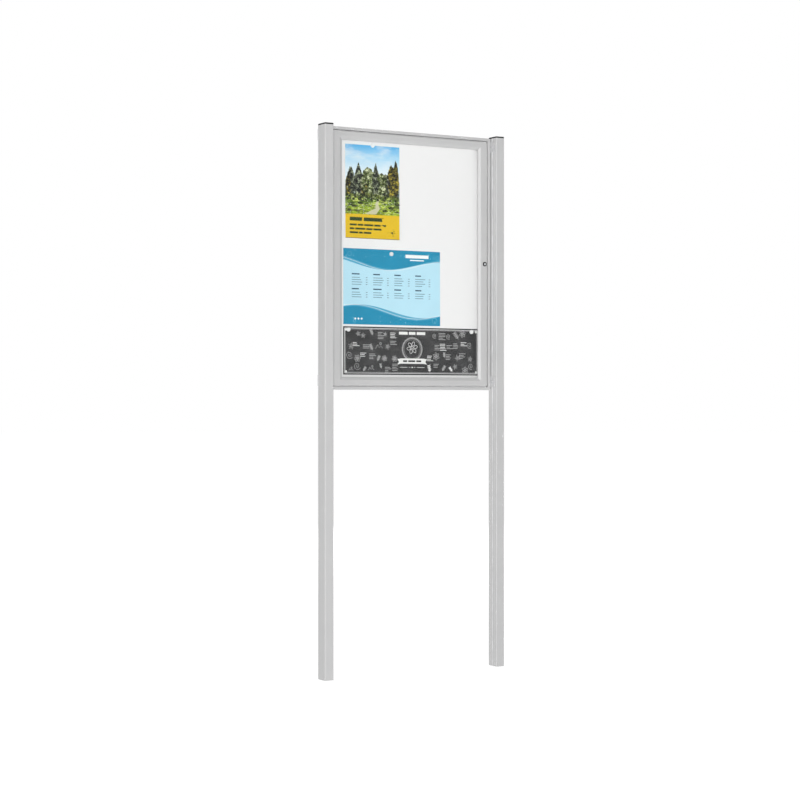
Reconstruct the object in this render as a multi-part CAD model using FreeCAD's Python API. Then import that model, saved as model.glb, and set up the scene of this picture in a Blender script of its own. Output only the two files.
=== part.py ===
import FreeCAD, Part
import math
import os

# An outdoor notice board: a glazed case with a lockable door, carried between two posts.
# Lengths are in millimetres. The origin is the centre of the left post's foot, X runs along
# the board to the right, Y runs from the front to the back and Z points up.

# Posts, both one extrusion with a slot in the face that looks at the other post
POST_WIDTH = 40.0
POST_DEPTH = 60.0
POST_LENGTH = 2245.0
POST_SPACING = 825.0
POST_WALL = 2.2
POST_CORNER = 2.5
SLOT_OPENING = 8.0
POCKET_WIDTH = 15.0
POCKET_DEPTH = 6.0
POCKET_WALL = 1.8
GROOVE_OFFSET = 17.0
GROOVE_WIDTH = 2.4
GROOVE_DEPTH = 0.9

# Strips that close the slots above, between and below the brackets
COVER_PLATE = 1.2
COVER_LEG = 1.0
COVER_BARB = 0.5
COVER_BARB_LENGTH = 1.6
COVER_CLEARANCE = 0.15

# Caps on the posts and plugs in their feet
CAP_THICKNESS = 6.0
CAP_EDGE = 0.8
PLUG_LENGTH = 14.0
PLUG_WALL = 2.5
PLUG_CLEARANCE = 0.3

# Brackets that wrap the back of each post and carry the case
BRACKET_PLATE = 4.0
BRACKET_HEIGHT = 44.0
BRACKET_INSET = 15.0
BRACKET_REACH = 47.0
BRACKET_HOOK = 9.0
BRACKET_HOOK_PLATE = 1.6
BRACKET_BEND = 1.5

# Case
CASE_HEIGHT = 1071.0
CASE_DEPTH = 40.0
CASE_SETBACK = 41.0
CASE_WALL = 2.0
CASE_EDGE = 1.5
LIP_WIDTH = 12.0
LIP_RETURN = 14.0
LEDGE_WIDTH = 14.0
REAR_FLANGE = 22.0
PANEL_SETBACK = 30.0
PANEL_THICKNESS = 1.2
PANEL_CLEARANCE = 0.5
REAR_SHEET = 1.5

# Door
DOOR_GAP = 5.0
DOOR_THICKNESS = 18.0
DOOR_WALL = 2.0
DOOR_EDGE = 2.5
STILE_FLAT = 30.0
RAIL_FLAT = 22.0
BEVEL_WIDTH = 11.0
BEVEL_DROP = 5.0
NOSE_THICKNESS = 1.5
BEAD_WIDTH = 8.0
BEAD_THICKNESS = 2.0
GASKET_THICKNESS = 1.5
GASKET_SHOWING = 1.5
GLASS_THICKNESS = 4.0
GLASS_CLEARANCE = 1.5

# Hinges in the gap at the door's left edge
HINGE_HEIGHT = 60.0
HINGE_END_DISTANCE = 85.0
HINGE_STAND_OFF = 4.0
KNUCKLE_RADIUS = 3.5
KNUCKLE_GAP = 0.5
LEAF_THICKNESS = 1.8
LEAF_DEPTH = 13.0
LEAF_CLEARANCE = 0.3
PIN_RADIUS = 1.8
PIN_CLEARANCE = 0.06
PIN_HEAD_RADIUS = 2.8
PIN_HEAD_HEIGHT = 1.2

# Cam lock in the right stile
LOCK_INSET = 11.0
LOCK_RING_RADIUS = 9.5
LOCK_RING_HEIGHT = 3.0
LOCK_RING_EDGE = 1.2
BARREL_RADIUS = 8.0
BARREL_CLEARANCE = 0.2
LOCK_NUT_FLATS = 20.0
LOCK_NUT_HEIGHT = 3.0
LOCK_PLUG_RADIUS = 5.5
LOCK_PLUG_CLEARANCE = 0.1
LOCK_PLUG_SUNK = 0.6
KEYHOLE_LENGTH = 7.0
KEYHOLE_WIDTH = 1.4
KEYHOLE_DEPTH = 5.0
CAM_THICKNESS = 2.0
CAM_WIDTH = 12.0
CAM_REACH = 21.0
CAM_CLEARANCE = 0.5
CAM_SCREW_RADIUS = 4.0
CAM_SCREW_HEIGHT = 1.5
CAM_SQUARE = 6.0

# Screws
SLOT_SCREW_RADIUS = 3.0
SLOT_HEAD_RADIUS = 5.2
SLOT_HEAD_HEIGHT = 3.2
SLOT_NUT_LENGTH = 16.0
SLOT_NUT_WIDTH = 13.0
SLOT_NUT_THICKNESS = 4.0
CASE_SCREW_RADIUS = 2.5
CASE_HEAD_RADIUS = 4.6
CASE_HEAD_HEIGHT = 2.6
CASE_SCREW_SETBACK = 11.0
SCREW_CLEARANCE = 0.2
HEX_KEY_FLATS = 4.0
HEX_KEY_DEPTH = 1.6

# Notices on the panel: the portrait one hangs from the top, the banner stands at the foot,
# and the landscape one fills the height between them
NOTICE_THICKNESS = 0.3
NOTICE_GAP = 8.5
PORTRAIT_GAP = 38.0
PORTRAIT_LEFT = 84.0
PORTRAIT_DROP = 59.5
PORTRAIT_WIDTH = 265.0
PORTRAIT_HEIGHT = 393.0
LANDSCAPE_LEFT = 78.8
LANDSCAPE_WIDTH = 465.0
BANNER_LEFT = 78.3
BANNER_BOTTOM = 62.0
BANNER_WIDTH = 658.0
BANNER_HEIGHT = 198.0

# Round magnets that hold the notices
MAGNET_RADIUS = 8.5
MAGNET_HEIGHT = 6.0
MAGNET_EDGE = 1.5
PORTRAIT_MAGNET_DROP = 4.0
LANDSCAPE_MAGNET_DROP = 17.0
LANDSCAPE_MAGNET_LEFT = 227.0
BANNER_MAGNET_DROP = 13.0
BANNER_MAGNET_INSET = 24.0
BANNER_RIGHT_MAGNET_INSET = 36.5

# Places worked out from the sizes above
CASE_FRONT = CASE_SETBACK - POST_DEPTH / 2
CASE_LEFT = POST_WIDTH / 2 + BRACKET_PLATE
CASE_RIGHT = POST_SPACING - POST_WIDTH / 2 - BRACKET_PLATE
CASE_TOP = POST_LENGTH
CASE_BOTTOM = CASE_TOP - CASE_HEIGHT
DOOR_LEFT = CASE_LEFT + LIP_WIDTH + DOOR_GAP
DOOR_RIGHT = CASE_RIGHT - LIP_WIDTH - DOOR_GAP
DOOR_BOTTOM = CASE_BOTTOM + LIP_WIDTH + DOOR_GAP
DOOR_TOP = CASE_TOP - LIP_WIDTH - DOOR_GAP
DOOR_BACK = CASE_FRONT + DOOR_THICKNESS
PANEL_FRONT = CASE_FRONT + PANEL_SETBACK
PORTRAIT_BOTTOM = CASE_HEIGHT - PORTRAIT_DROP - PORTRAIT_HEIGHT
LANDSCAPE_BOTTOM = BANNER_BOTTOM + BANNER_HEIGHT + NOTICE_GAP
LANDSCAPE_HEIGHT = PORTRAIT_BOTTOM - PORTRAIT_GAP - LANDSCAPE_BOTTOM
GASKET_SETBACK = BEVEL_DROP + NOSE_THICKNESS
GLASS_SETBACK = GASKET_SETBACK + GASKET_THICKNESS
GLASS_BACK = GLASS_SETBACK + GLASS_THICKNESS
HINGE_X = CASE_LEFT + LIP_WIDTH + DOOR_GAP / 2
HINGE_Y = CASE_FRONT - HINGE_STAND_OFF
LOCK_X = DOOR_RIGHT - LOCK_INSET
LOCK_Z = (DOOR_BOTTOM + DOOR_TOP) / 2
BRACKET_MIDDLES = (
    CASE_BOTTOM + BRACKET_INSET + BRACKET_HEIGHT / 2,
    CASE_TOP - BRACKET_INSET - BRACKET_HEIGHT / 2,
)
# Each post as its centre and the direction from it to the other post
POSTS = {"left": (0.0, 1.0), "right": (POST_SPACING, -1.0)}

ALONG_X = FreeCAD.Vector(1, 0, 0)
ALONG_Y = FreeCAD.Vector(0, 1, 0)
ALONG_Z = FreeCAD.Vector(0, 0, 1)


def point(x, y, z):
    return FreeCAD.Vector(x, y, z)


def outline(corners, place):
    """A closed wire through corners (u, v, radius), each rounded by a tangent arc where it has a radius."""
    spots = [FreeCAD.Vector(u, v, 0) for u, v, radius in corners]
    stretches = []
    for index, (u, v, radius) in enumerate(corners):
        here = spots[index]
        if radius == 0:
            stretches.append((here, here, here))
            continue
        before = (spots[index - 1] - here).normalize()
        after = (spots[(index + 1) % len(spots)] - here).normalize()
        half_angle = before.getAngle(after) / 2
        reach = radius / math.tan(half_angle)
        bisector = (before + after).normalize()
        nearest = here + bisector * (radius / math.sin(half_angle) - radius)
        stretches.append((here + before * reach, nearest, here + after * reach))
    edges = []
    for index, (start, middle, end) in enumerate(stretches):
        if start.distanceToPoint(end) > 0:
            arc = [place(spot.x, spot.y) for spot in (start, middle, end)]
            edges.append(Part.Arc(*arc).toShape())
        following = stretches[(index + 1) % len(stretches)][0]
        run = Part.LineSegment(place(end.x, end.y), place(following.x, following.y))
        edges.append(run.toShape())
    return Part.Wire(edges)


def extruded(corners, place, travel, holes=()):
    """The solid swept by an outline along travel, less the outlines in holes."""
    section = Part.Face(outline(corners, place))
    for hole in holes:
        section = section.cut(Part.Face(outline(hole, place)))
    return section.extrude(travel).Solids[0]


def level(height):
    """Places an outline's u and v along X and Y at one height."""
    return lambda u, v: point(u, v, height)


def rectangle(left, near, right, far, radius=0.0):
    return [(left, near, radius), (right, near, radius), (right, far, radius), (left, far, radius)]


def block(low, high):
    size = high - low
    return Part.makeBox(size.x, size.y, size.z, low)


def cylinder(start, direction, radius, length):
    return Part.makeCylinder(radius, length, start, direction)


def revolved(profile, start, direction):
    """A turned piece: profile holds (distance along the axis, radius) from one end to the other."""
    across = ALONG_Z if abs(direction.z) < abs(direction.x) + abs(direction.y) else ALONG_X
    rim = [start + direction * along + across * radius for along, radius in profile]
    return Part.Face(Part.makePolygon(rim + [rim[0]])).revolve(start, direction, 360).Solids[0]


def hexagonal(start, direction, across_flats, length):
    """A hexagonal bar along an axis, two of its corners up and down or left and right."""
    upward = ALONG_Z if abs(direction.z) < 1 else ALONG_X
    sideways = direction.cross(upward)
    corner = across_flats / math.sqrt(3)
    ring = []
    for step in range(6):
        turn = math.radians(60 * step)
        ring.append(start + upward * (corner * math.cos(turn)) + sideways * (corner * math.sin(turn)))
    return Part.Face(Part.makePolygon(ring + [ring[0]])).extrude(direction * length)


# Posts


def post_section():
    """The post's outline and its inner cavity, with the slot towards +u."""
    half_width = POST_WIDTH / 2
    half_depth = POST_DEPTH / 2
    pocket_mouth = half_width - POST_WALL
    pocket_floor = pocket_mouth - POCKET_DEPTH
    half_slot = SLOT_OPENING / 2
    half_pocket = POCKET_WIDTH / 2
    outside = [(-half_width, -half_depth, POST_CORNER), (half_width, -half_depth, POST_CORNER)]
    outside += groove(half_width, -GROOVE_OFFSET)
    outside += [
        (half_width, -half_slot, 0),
        (pocket_mouth, -half_slot, 0),
        (pocket_mouth, -half_pocket, 0),
        (pocket_floor, -half_pocket, 0),
        (pocket_floor, half_pocket, 0),
        (pocket_mouth, half_pocket, 0),
        (pocket_mouth, half_slot, 0),
        (half_width, half_slot, 0),
    ]
    outside += groove(half_width, GROOVE_OFFSET)
    outside += [(half_width, half_depth, POST_CORNER), (-half_width, half_depth, POST_CORNER)]
    inner_width = half_width - POST_WALL
    inner_depth = half_depth - POST_WALL
    behind_pocket = pocket_floor - POCKET_WALL
    beside_pocket = half_pocket + POCKET_WALL
    inside = [
        (-inner_width, -inner_depth, 0),
        (inner_width, -inner_depth, 0),
        (inner_width, -beside_pocket, 0),
        (behind_pocket, -beside_pocket, 0),
        (behind_pocket, beside_pocket, 0),
        (inner_width, beside_pocket, 0),
        (inner_width, inner_depth, 0),
        (-inner_width, inner_depth, 0),
    ]
    return outside, inside


def groove(face, middle):
    half = GROOVE_WIDTH / 2
    return [(face, middle - half, 0), (face - GROOVE_DEPTH, middle, 0), (face, middle + half, 0)]


def post(centre, facing):
    outside, inside = post_section()
    place = lambda u, v: point(centre + facing * u, v, 0)
    return extruded(outside, place, ALONG_Z * POST_LENGTH, [inside])


def cover_section():
    """A slot cover: a plate flush with the post's face and two legs whose barbs sit behind the wall."""
    face = POST_WIDTH / 2
    side = SLOT_OPENING / 2 - COVER_CLEARANCE
    leg = side - COVER_LEG
    shoulder = face - POST_WALL - COVER_CLEARANCE
    tip = shoulder - COVER_BARB_LENGTH
    plate_back = face - COVER_PLATE
    half = [
        (face, side, 0),
        (shoulder, side, 0),
        (shoulder, side + COVER_BARB, 0),
        (tip, side, 0),
        (tip, leg, 0),
        (plate_back, leg, 0),
    ]
    return half + [(u, -v, radius) for u, v, radius in reversed(half)]


def slot_cover(centre, facing):
    stops = [0.0, POST_LENGTH]
    for middle in BRACKET_MIDDLES:
        stops += [middle - BRACKET_HEIGHT / 2 - COVER_CLEARANCE, middle + BRACKET_HEIGHT / 2 + COVER_CLEARANCE]
    stops.sort()
    strips = []
    for low, high in zip(stops[::2], stops[1::2]):
        place = lambda u, v: point(centre + facing * u, v, low)
        strips.append(extruded(cover_section(), place, ALONG_Z * (high - low)))
    return Part.makeCompound(strips)


def plug_outline(shrink):
    """The free part of the post's cavity, beside the slot's pocket, less a clearance and a shrink."""
    near = -(POST_WIDTH / 2 - POST_WALL) + PLUG_CLEARANCE + shrink
    far = POST_WIDTH / 2 - POST_WALL - POCKET_DEPTH - POCKET_WALL - PLUG_CLEARANCE - shrink
    side = POST_DEPTH / 2 - POST_WALL - PLUG_CLEARANCE - shrink
    return rectangle(near, -side, far, side)


def hollow_plug(centre, facing, floor, travel):
    """A moulded plug that fills the cavity from floor by travel, hollow beyond its own wall."""
    place = lambda u, v: point(centre + facing * u, v, floor)
    inner = lambda u, v: point(centre + facing * u, v, floor + math.copysign(PLUG_WALL, travel))
    body = extruded(plug_outline(0), place, ALONG_Z * travel)
    hollow = extruded(plug_outline(PLUG_WALL), inner, ALONG_Z * travel)
    return body.cut(hollow)


def cap(centre, facing):
    plate_outline = rectangle(-POST_WIDTH / 2, -POST_DEPTH / 2, POST_WIDTH / 2, POST_DEPTH / 2, POST_CORNER)
    place = lambda u, v: point(centre + facing * u, v, POST_LENGTH)
    plate = extruded(plate_outline, place, ALONG_Z * CAP_THICKNESS)
    rim = [edge for edge in plate.Edges if edge.BoundBox.ZMin > POST_LENGTH + CAP_THICKNESS / 2]
    plate = plate.makeFillet(CAP_EDGE, rim)
    return plate.fuse(hollow_plug(centre, facing, POST_LENGTH, -PLUG_LENGTH)).removeSplitter()


# Brackets


def bracket_outline():
    """A plate bent round the back of a post, thinned at its hook, with its long leg beside the case."""
    half_width = POST_WIDTH / 2
    back = POST_DEPTH / 2
    outer_width = half_width + BRACKET_PLATE
    outer_back = back + BRACKET_PLATE
    hook_width = half_width + BRACKET_HOOK_PLATE
    bend = BRACKET_BEND + BRACKET_PLATE
    leg_end = back - BRACKET_REACH
    hook_end = back - BRACKET_HOOK
    return [
        (half_width, leg_end, 0),
        (outer_width, leg_end, 0),
        (outer_width, outer_back, bend),
        (-hook_width, outer_back, bend),
        (-hook_width, hook_end, 0),
        (-half_width, hook_end, 0),
        (-half_width, back, BRACKET_BEND),
        (half_width, back, BRACKET_BEND),
    ]


def case_screw_depth():
    return CASE_FRONT + CASE_SCREW_SETBACK


def bracket(centre, facing, middle):
    low = middle - BRACKET_HEIGHT / 2
    place = lambda u, v: point(centre + facing * u, v, low)
    plate = extruded(bracket_outline(), place, ALONG_Z * BRACKET_HEIGHT)
    start = point(centre + facing * POST_WIDTH / 2, 0, middle)
    inward = ALONG_X * facing
    slot_hole = cylinder(start, inward, SLOT_SCREW_RADIUS + SCREW_CLEARANCE, BRACKET_PLATE)
    tapped = cylinder(start + ALONG_Y * case_screw_depth(), inward, CASE_SCREW_RADIUS, BRACKET_PLATE)
    return plate.cut(slot_hole).cut(tapped)


def slot_screw(centre, facing, middle):
    """A button-head screw from the bracket's leg into the nut in the post's slot."""
    inward = ALONG_X * facing
    seat = point(centre + facing * (POST_WIDTH / 2 + BRACKET_PLATE), 0, middle)
    shank = BRACKET_PLATE + POST_WALL + SLOT_NUT_THICKNESS
    dome = [
        (-shank, 0),
        (-shank, SLOT_SCREW_RADIUS),
        (0, SLOT_SCREW_RADIUS),
        (0, SLOT_HEAD_RADIUS),
        (SLOT_HEAD_HEIGHT * 0.5, SLOT_HEAD_RADIUS * 0.86),
        (SLOT_HEAD_HEIGHT, SLOT_HEAD_RADIUS * 0.5),
        (SLOT_HEAD_HEIGHT, 0),
    ]
    key_floor = seat + inward * (SLOT_HEAD_HEIGHT - HEX_KEY_DEPTH)
    return revolved(dome, seat, inward).cut(hexagonal(key_floor, inward, HEX_KEY_FLATS, HEX_KEY_DEPTH))


def slot_nut(centre, facing, middle):
    mouth = centre + facing * (POST_WIDTH / 2 - POST_WALL)
    back = mouth - facing * SLOT_NUT_THICKNESS
    low = point(min(mouth, back), -SLOT_NUT_WIDTH / 2, middle - SLOT_NUT_LENGTH / 2)
    high = point(max(mouth, back), SLOT_NUT_WIDTH / 2, middle + SLOT_NUT_LENGTH / 2)
    thread = cylinder(point(back, 0, middle), ALONG_X * facing, SLOT_SCREW_RADIUS, SLOT_NUT_THICKNESS)
    return block(low, high).cut(thread)


def case_screw(centre, facing, middle):
    """A screw from inside the case through its wall into the bracket's leg."""
    inward = ALONG_X * facing
    seat_x = centre + facing * (POST_WIDTH / 2 + BRACKET_PLATE + CASE_WALL)
    seat = point(seat_x, case_screw_depth(), middle)
    shank = cylinder(seat, inward * -1, CASE_SCREW_RADIUS, CASE_WALL + BRACKET_PLATE)
    return cylinder(seat, inward, CASE_HEAD_RADIUS, CASE_HEAD_HEIGHT).fuse(shank).removeSplitter()


def at_each_bracket(make):
    return Part.makeCompound(
        [make(centre, facing, middle) for centre, facing in POSTS.values() for middle in BRACKET_MIDDLES]
    )


# Case and door frames


def frame_sides(left, bottom, right, top):
    """Each side of a rectangular frame: where it starts, its run, and the way in from its outer edge."""
    width = right - left
    height = top - bottom
    return {
        "bottom": (left, bottom, ALONG_X, width, ALONG_Z),
        "top": (left, top, ALONG_X, width, ALONG_Z * -1),
        "left": (left, bottom, ALONG_Z, height, ALONG_X),
        "right": (right, bottom, ALONG_Z, height, ALONG_X * -1),
    }


def frame_member(side, corners, holes, ends):
    """A section extruded along one side of a frame and trimmed to its joints.

    A section corner is (distance in from the outer edge, distance back from the front, radius).
    ends holds (distance along from the corner, distance in) for one end's joint line.
    """
    start_x, start_z, run, length, inward = side
    start = point(start_x, CASE_FRONT, start_z)
    place = lambda inner, back: start + inward * inner + ALONG_Y * back
    bar = extruded(corners, place, run * length, holes)
    near = [start + run * along + inward * inner for along, inner in ends]
    far = [start + run * (length - along) + inward * inner for along, inner in reversed(ends)]
    depth = max(back for inner, back, radius in corners)
    trim = Part.Face(Part.makePolygon(near + far + [near[0]])).extrude(ALONG_Y * depth)
    return bar.common(trim).Solids[0]


def case_section():
    ledge_front = PANEL_SETBACK + PANEL_THICKNESS
    ledge_back = ledge_front + CASE_WALL
    flange_front = CASE_DEPTH - CASE_WALL
    return [
        (0, 0, CASE_EDGE),
        (LIP_WIDTH, 0, 0),
        (LIP_WIDTH, LIP_RETURN, 0),
        (LIP_WIDTH - CASE_WALL, LIP_RETURN, 0),
        (LIP_WIDTH - CASE_WALL, CASE_WALL, 0),
        (CASE_WALL, CASE_WALL, 0),
        (CASE_WALL, ledge_front, 0),
        (LEDGE_WIDTH, ledge_front, 0),
        (LEDGE_WIDTH, ledge_back, 0),
        (CASE_WALL, ledge_back, 0),
        (CASE_WALL, flange_front, 0),
        (REAR_FLANGE, flange_front, 0),
        (REAR_FLANGE, CASE_DEPTH, 0),
        (0, CASE_DEPTH, 0),
    ]


def case_member(name):
    side = frame_sides(CASE_LEFT, CASE_BOTTOM, CASE_RIGHT, CASE_TOP)[name]
    deepest = max(REAR_FLANGE, LEDGE_WIDTH, LIP_WIDTH)
    member = frame_member(side, case_section(), (), [(0, 0), (deepest, deepest)])
    if name not in POSTS:
        return member
    centre, facing = POSTS[name]
    for middle in BRACKET_MIDDLES:
        start = point(centre + facing * POST_WIDTH / 2, case_screw_depth(), middle)
        reach = BRACKET_PLATE + CASE_WALL
        member = member.cut(cylinder(start, ALONG_X * facing, CASE_SCREW_RADIUS + SCREW_CLEARANCE, reach))
    return member


def sheet_in_case(setback, thickness):
    inset = CASE_WALL + PANEL_CLEARANCE
    low = point(CASE_LEFT + inset, CASE_FRONT + setback, CASE_BOTTOM + inset)
    high = point(CASE_RIGHT - inset, CASE_FRONT + setback + thickness, CASE_TOP - inset)
    return block(low, high)


def door_section(flat):
    """The door's bar: a hollow flat part, a bevelled nose over the glass and a bead behind it."""
    nose = flat + BEVEL_WIDTH
    bead = flat + BEAD_WIDTH
    outside = [
        (0, 0, DOOR_EDGE),
        (flat, 0, 0),
        (nose, BEVEL_DROP, 0),
        (nose, GASKET_SETBACK, 0),
        (flat, GASKET_SETBACK, 0),
        (flat, GLASS_BACK, 0),
        (bead, GLASS_BACK, 0),
        (bead, GLASS_BACK + BEAD_THICKNESS, 0),
        (flat, DOOR_THICKNESS, 0),
        (0, DOOR_THICKNESS, 0),
    ]
    inside = rectangle(DOOR_WALL, DOOR_WALL, flat - DOOR_WALL, DOOR_THICKNESS - DOOR_WALL)
    return outside, inside


def door_member(name):
    """Stiles run the door's full height and rails butt between them; only the nose and bead are mitred."""
    side = frame_sides(DOOR_LEFT, DOOR_BOTTOM, DOOR_RIGHT, DOOR_TOP)[name]
    reach = max(BEVEL_WIDTH, BEAD_WIDTH)
    if name in ("left", "right"):
        outside, inside = door_section(STILE_FLAT)
        ends = [(0, 0), (0, STILE_FLAT), (RAIL_FLAT, STILE_FLAT), (RAIL_FLAT + reach, STILE_FLAT + reach)]
    else:
        outside, inside = door_section(RAIL_FLAT)
        ends = [(STILE_FLAT, 0), (STILE_FLAT, RAIL_FLAT), (STILE_FLAT + reach, RAIL_FLAT + reach)]
    member = frame_member(side, outside, [inside], ends)
    if name == "right":
        start = point(LOCK_X, CASE_FRONT, LOCK_Z)
        member = member.cut(cylinder(start, ALONG_Y, BARREL_RADIUS + BARREL_CLEARANCE, DOOR_THICKNESS))
    return member


def door_ring(inset, setback, thickness):
    """A rectangular block inside the door, inset from the inner edges of its hollow bars."""
    low = point(DOOR_LEFT + STILE_FLAT + inset, CASE_FRONT + setback, DOOR_BOTTOM + RAIL_FLAT + inset)
    high = point(DOOR_RIGHT - STILE_FLAT - inset, CASE_FRONT + setback + thickness, DOOR_TOP - RAIL_FLAT - inset)
    return block(low, high)


def gasket():
    whole = door_ring(GLASS_CLEARANCE, GASKET_SETBACK, GASKET_THICKNESS)
    return whole.cut(door_ring(BEVEL_WIDTH + GASKET_SHOWING, GASKET_SETBACK, GASKET_THICKNESS))


def glass():
    return door_ring(GLASS_CLEARANCE, GLASS_SETBACK, GLASS_THICKNESS)


# Hinges


def hinge_bottoms():
    lowest = DOOR_BOTTOM + HINGE_END_DISTANCE
    highest = DOOR_TOP - HINGE_END_DISTANCE - HINGE_HEIGHT
    return {"bottom": lowest, "middle": (lowest + highest) / 2, "top": highest}


def knuckle_spans(bottom):
    """The fixed half's two knuckles and the moving half's one between them."""
    third = HINGE_HEIGHT / 3
    middle_low = bottom + third + KNUCKLE_GAP / 2
    middle_high = bottom + 2 * third - KNUCKLE_GAP / 2
    fixed = [(bottom, middle_low - KNUCKLE_GAP), (middle_high + KNUCKLE_GAP, bottom + HINGE_HEIGHT)]
    return fixed, [(middle_low, middle_high)]


def hinge_half(bottom, spans, leaf_outer):
    """A leaf against the frame at x = leaf_outer and knuckles that stand in front of the gap."""
    toward_gap = math.copysign(LEAF_THICKNESS, HINGE_X - leaf_outer)
    leaf_low = min(leaf_outer, leaf_outer + toward_gap)
    leaf_high = max(leaf_outer, leaf_outer + toward_gap)
    plate_front = HINGE_Y + KNUCKLE_RADIUS + LEAF_CLEARANCE
    plate_back = CASE_FRONT + LEAF_DEPTH
    plate = block(point(leaf_low, plate_front, bottom), point(leaf_high, plate_back, bottom + HINGE_HEIGHT))
    half = plate
    for low, high in spans:
        web = block(point(leaf_low, HINGE_Y, low), point(leaf_high, plate_front, high))
        barrel = cylinder(point(HINGE_X, HINGE_Y, low), ALONG_Z, KNUCKLE_RADIUS, high - low)
        half = half.fuse(web).fuse(barrel)
    bore = cylinder(point(HINGE_X, HINGE_Y, bottom), ALONG_Z, PIN_RADIUS + PIN_CLEARANCE, HINGE_HEIGHT)
    return half.cut(bore).removeSplitter()


def hinge_pin(bottom):
    pin = cylinder(point(HINGE_X, HINGE_Y, bottom), ALONG_Z, PIN_RADIUS, HINGE_HEIGHT)
    for height in (bottom - PIN_HEAD_HEIGHT, bottom + HINGE_HEIGHT):
        head = cylinder(point(HINGE_X, HINGE_Y, height), ALONG_Z, PIN_HEAD_RADIUS, PIN_HEAD_HEIGHT)
        pin = pin.fuse(head)
    return pin.removeSplitter()


# Lock


def lock_barrel():
    start = point(LOCK_X, CASE_FRONT, LOCK_Z)
    length = DOOR_THICKNESS + LOCK_NUT_HEIGHT
    bore = LOCK_PLUG_RADIUS + LOCK_PLUG_CLEARANCE
    profile = [
        (-LOCK_RING_HEIGHT, bore),
        (-LOCK_RING_HEIGHT, LOCK_RING_RADIUS - LOCK_RING_EDGE),
        (LOCK_RING_EDGE - LOCK_RING_HEIGHT, LOCK_RING_RADIUS),
        (0, LOCK_RING_RADIUS),
        (0, BARREL_RADIUS),
        (length, BARREL_RADIUS),
        (length, bore),
    ]
    return revolved(profile, start, ALONG_Y)


def lock_nut():
    start = point(LOCK_X, DOOR_BACK, LOCK_Z)
    nut = hexagonal(start, ALONG_Y, LOCK_NUT_FLATS, LOCK_NUT_HEIGHT)
    return nut.cut(cylinder(start, ALONG_Y, BARREL_RADIUS, LOCK_NUT_HEIGHT))


def cam_front():
    return DOOR_BACK + LOCK_NUT_HEIGHT + CAM_CLEARANCE


def lock_plug():
    """The turning plug with its keyhole, and the square on its back end that drives the cam."""
    front = CASE_FRONT - LOCK_RING_HEIGHT + LOCK_PLUG_SUNK
    start = point(LOCK_X, front, LOCK_Z)
    body = cylinder(start, ALONG_Y, LOCK_PLUG_RADIUS, cam_front() - front)
    half = CAM_SQUARE / 2
    drive = block(
        point(LOCK_X - half, cam_front(), LOCK_Z - half),
        point(LOCK_X + half, cam_front() + CAM_THICKNESS, LOCK_Z + half),
    )
    keyhole = block(
        point(LOCK_X - KEYHOLE_WIDTH / 2, front, LOCK_Z - KEYHOLE_LENGTH / 2),
        point(LOCK_X + KEYHOLE_WIDTH / 2, front + KEYHOLE_DEPTH, LOCK_Z + KEYHOLE_LENGTH / 2),
    )
    screw_start = point(LOCK_X, cam_front() + CAM_THICKNESS, LOCK_Z)
    screw = cylinder(screw_start, ALONG_Y, CAM_SCREW_RADIUS, CAM_SCREW_HEIGHT)
    return body.cut(keyhole).fuse(drive).fuse(screw).removeSplitter()


def lock_cam():
    """The cam hangs straight down when the lock is open and turns behind the case's lip to lock."""
    half = CAM_WIDTH / 2
    place = lambda u, v: point(LOCK_X + u, cam_front(), LOCK_Z + v)
    shape = rectangle(-half, -CAM_REACH, half, half, half * 0.98)
    square = rectangle(-CAM_SQUARE / 2, -CAM_SQUARE / 2, CAM_SQUARE / 2, CAM_SQUARE / 2)
    return extruded(shape, place, ALONG_Y * CAM_THICKNESS, [square])


# Notices and magnets


def notice(left, bottom, width, height):
    low = point(CASE_LEFT + left, PANEL_FRONT - NOTICE_THICKNESS, CASE_BOTTOM + bottom)
    high = point(CASE_LEFT + left + width, PANEL_FRONT, CASE_BOTTOM + bottom + height)
    return block(low, high)


def magnet(left, height):
    """A round magnet whose back lies on the notice; left and height are from the case's corner."""
    seat = point(CASE_LEFT + left, PANEL_FRONT - NOTICE_THICKNESS, CASE_BOTTOM + height)
    profile = [
        (0, 0),
        (0, MAGNET_RADIUS),
        (MAGNET_HEIGHT - MAGNET_EDGE, MAGNET_RADIUS),
        (MAGNET_HEIGHT, MAGNET_RADIUS - MAGNET_EDGE),
        (MAGNET_HEIGHT, 0),
    ]
    return revolved(profile, seat, ALONG_Y * -1)


def notices():
    portrait_top = PORTRAIT_BOTTOM + PORTRAIT_HEIGHT
    landscape_top = LANDSCAPE_BOTTOM + LANDSCAPE_HEIGHT
    banner_top = BANNER_BOTTOM + BANNER_HEIGHT
    banner_right = BANNER_LEFT + BANNER_WIDTH
    portrait_middle = PORTRAIT_LEFT + PORTRAIT_WIDTH / 2
    return {
        "notice_portrait": notice(PORTRAIT_LEFT, PORTRAIT_BOTTOM, PORTRAIT_WIDTH, PORTRAIT_HEIGHT),
        "notice_landscape": notice(LANDSCAPE_LEFT, LANDSCAPE_BOTTOM, LANDSCAPE_WIDTH, LANDSCAPE_HEIGHT),
        "notice_banner": notice(BANNER_LEFT, BANNER_BOTTOM, BANNER_WIDTH, BANNER_HEIGHT),
        "magnet_portrait": magnet(portrait_middle, portrait_top - PORTRAIT_MAGNET_DROP),
        "magnet_landscape": magnet(
            LANDSCAPE_LEFT + LANDSCAPE_MAGNET_LEFT, landscape_top - LANDSCAPE_MAGNET_DROP
        ),
        "magnet_banner_left": magnet(BANNER_LEFT + BANNER_MAGNET_INSET, banner_top - BANNER_MAGNET_DROP),
        "magnet_banner_right": magnet(
            banner_right - BANNER_RIGHT_MAGNET_INSET, banner_top - BANNER_MAGNET_DROP
        ),
    }


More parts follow.
